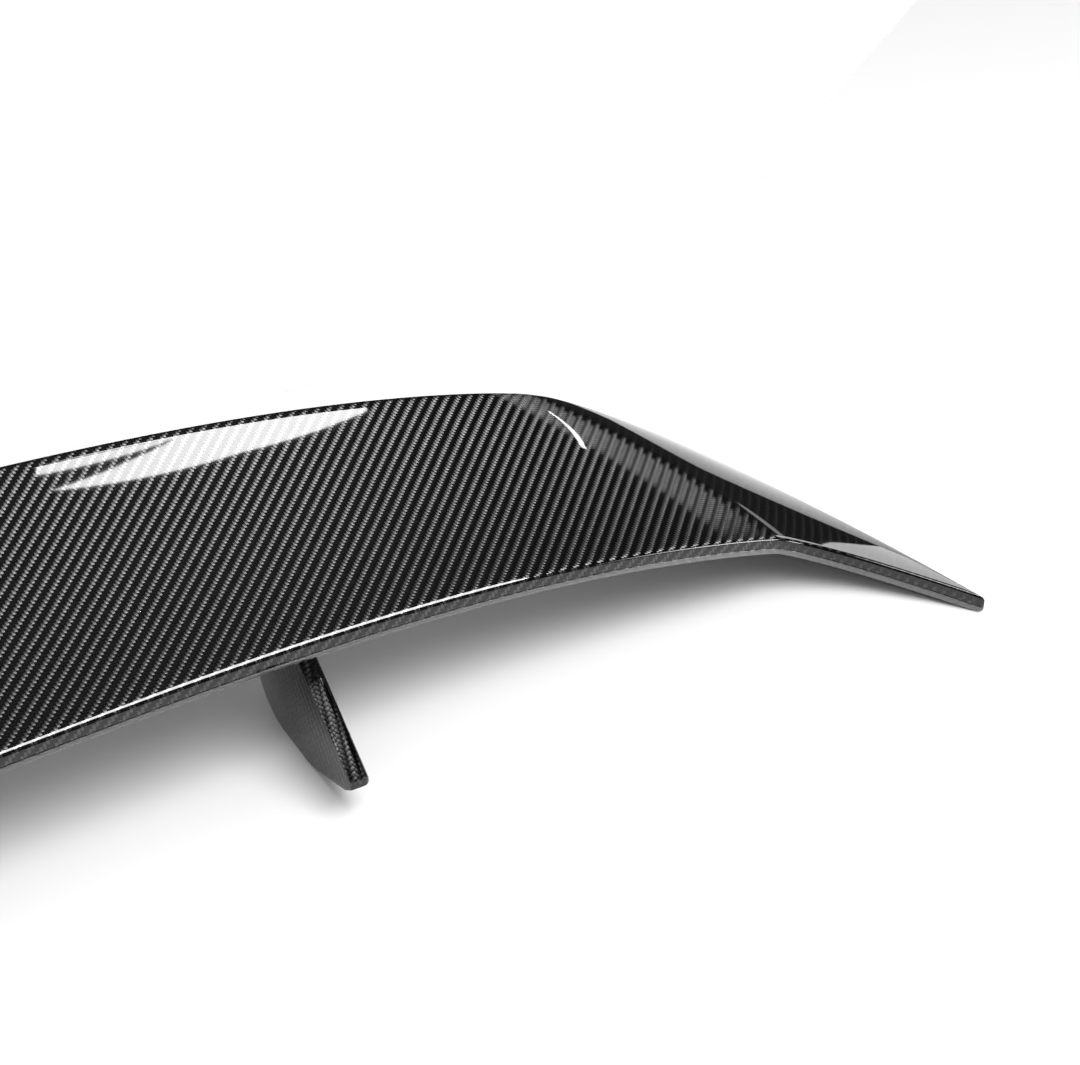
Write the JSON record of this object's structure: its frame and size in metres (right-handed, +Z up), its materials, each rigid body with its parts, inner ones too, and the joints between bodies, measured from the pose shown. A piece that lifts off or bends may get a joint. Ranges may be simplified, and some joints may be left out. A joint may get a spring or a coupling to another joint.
{
  "type": "racing rear wing",
  "caption": "Gloss carbon-fibre rear wing with an upswept trailing edge, drooping winglet ends and raked stanchions, bolted to a boot lid from below.",
  "frame": {"origin": "middle of the bounding box in X and Y, at the level of the boot lid that the stanchion feet and the winglet rims stand on", "axes": "+X across the car to the right of the picture, +Y back along the airflow from the leading edge to the trailing edge, +Z up"},
  "size_m": [1.414, 0.242, 0.131],
  "materials": {
    "carbon_gloss": "2x2 twill carbon under a deep gloss clear coat",
    "carbon_plain": "uncoated carbon laminate",
    "foam": "cut closed-cell foam",
    "composite_packer": "machined glass-epoxy sheet",
    "aluminium": "machined",
    "steel_screw": "black-oxide steel",
    "steel_washer": "zinc plated"
  },
  "bodies": {
    "root": {"upper_skin": "carbon_gloss", "lower_skin": "carbon_gloss", "nose_foam": "foam", "tail_foam": "foam", "front_spar": "carbon_plain", "rear_spar": "carbon_plain", "rib_centre": "carbon_plain", "rib_left_1": "carbon_plain", "rib_left_2": "carbon_plain", "rib_left_3": "carbon_plain", "rib_left_4": "carbon_plain", "rib_right_1": "carbon_plain", "rib_right_2": "carbon_plain", "rib_right_3": "carbon_plain", "rib_right_4": "carbon_plain", "winglet_foam_left": "foam", "winglet_foam_right": "foam", "rim_block_left": "aluminium", "rim_block_right": "aluminium", "root_packer_left": "composite_packer", "root_packer_right": "composite_packer", "hardpoint_plate_left": "aluminium", "hardpoint_plate_right": "aluminium", "root_screws_left": "steel_screw", "root_screws_right": "steel_screw", "root_washers_left": "steel_washer", "root_washers_right": "steel_washer", "stanchion_core_left": "aluminium", "stanchion_core_right": "aluminium", "stanchion_outer_shell_left": "carbon_gloss", "stanchion_outer_shell_right": "carbon_gloss", "stanchion_inner_plate_left": "carbon_gloss", "stanchion_inner_plate_right": "carbon_gloss"}
  },
  "joints": []
}
